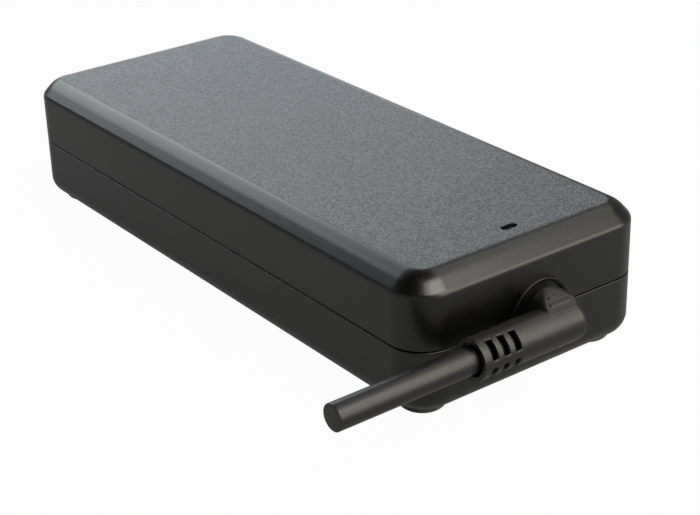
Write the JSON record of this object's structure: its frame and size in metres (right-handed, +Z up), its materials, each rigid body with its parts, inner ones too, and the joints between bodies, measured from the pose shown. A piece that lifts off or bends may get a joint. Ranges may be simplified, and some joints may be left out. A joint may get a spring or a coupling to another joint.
{
  "type": "power adapter",
  "caption": "Flat black laptop power adapter with bevelled roof, status light slot, mains inlet, rubber feet and a right-angle cord exit that swivels at one end.",
  "frame": {"origin": "on the table, under the middle of the case, at the feet's lower faces", "axes": "+X towards the cord end, -X the mains end, +Z up; the cord points to -Y at rest"},
  "size_m": [0.1606, 0.085, 0.0312],
  "materials": {
    "case_plastic": "fine spark grain",
    "base_plastic": "fine matt grain",
    "foot_rubber": "matt",
    "lens": "smoked, smooth",
    "led_epoxy": "clear",
    "inlet_plastic": "smooth moulded",
    "blade_metal": "nickel plated",
    "copper": "bare",
    "wire_enamel": "enamelled",
    "board_laminate": "solder mask",
    "insulation": "fish paper",
    "shield_metal": "rolled",
    "thermal_rubber": "soft",
    "fuse_case": "moulded",
    "blue_coating": "dipped",
    "yellow_case": "moulded",
    "ferrite": "sintered",
    "painted_ferrite": "coated",
    "yellow_tape": "polyester tape",
    "bobbin_plastic": "moulded",
    "chip_epoxy": "moulded",
    "white_epoxy": "moulded",
    "can_sleeve": "shrunk sleeve",
    "sink_aluminium": "mill",
    "lead_cover": "smooth",
    "bushing_plastic": "smooth",
    "collar_plastic": "acetal",
    "boot_elastomer": "fine matt",
    "cord_vinyl": "satin"
  },
  "bodies": {
    "case": {"bottom_cover": "base_plastic", "top_cover": "case_plastic", "rubber_feet": "foot_rubber", "led_lens": "lens", "ac_inlet": "inlet_plastic", "exit_bushing": "bushing_plastic", "status_led": "led_epoxy", "line_pin": "blade_metal", "neutral_pin": "blade_metal", "earth_pin": "blade_metal", "inlet_leads": "copper", "circuit_board": "board_laminate", "insulating_sheet": "insulation", "lower_shield": "shield_metal", "upper_shield": "shield_metal", "thermal_pads": "thermal_rubber", "fuse": "fuse_case", "varistor": "blue_coating", "x_capacitor": "yellow_case", "filter_core": "painted_ferrite", "filter_windings": "wire_enamel", "bridge_rectifier": "chip_epoxy", "boost_core": "ferrite", "boost_coil": "yellow_tape", "bulk_capacitor": "can_sleeve", "primary_heatsink": "sink_aluminium", "primary_transistors": "chip_epoxy", "controller_chip": "chip_epoxy", "optocoupler": "white_epoxy", "y_capacitor": "blue_coating", "transformer_core": "ferrite", "transformer_bobbin": "bobbin_plastic", "transformer_winding": "yellow_tape", "secondary_heatsink": "sink_aluminium", "output_rectifier": "chip_epoxy", "output_choke": "wire_enamel", "output_capacitors": "can_sleeve", "output_leads": "lead_cover"},
    "exit": {"swivel_collar": "collar_plastic", "cord_exit": "boot_elastomer", "cord_cores": "copper", "cord_jacket": "cord_vinyl"}
  },
  "joints": [
    {"name": "exit_swivel", "type": "hinge", "parent": "case", "child": "exit", "pos_m": [0.075, 0, 0.01615], "axis": [-1, 0, 0], "range_deg": [0, 180]}
  ]
}
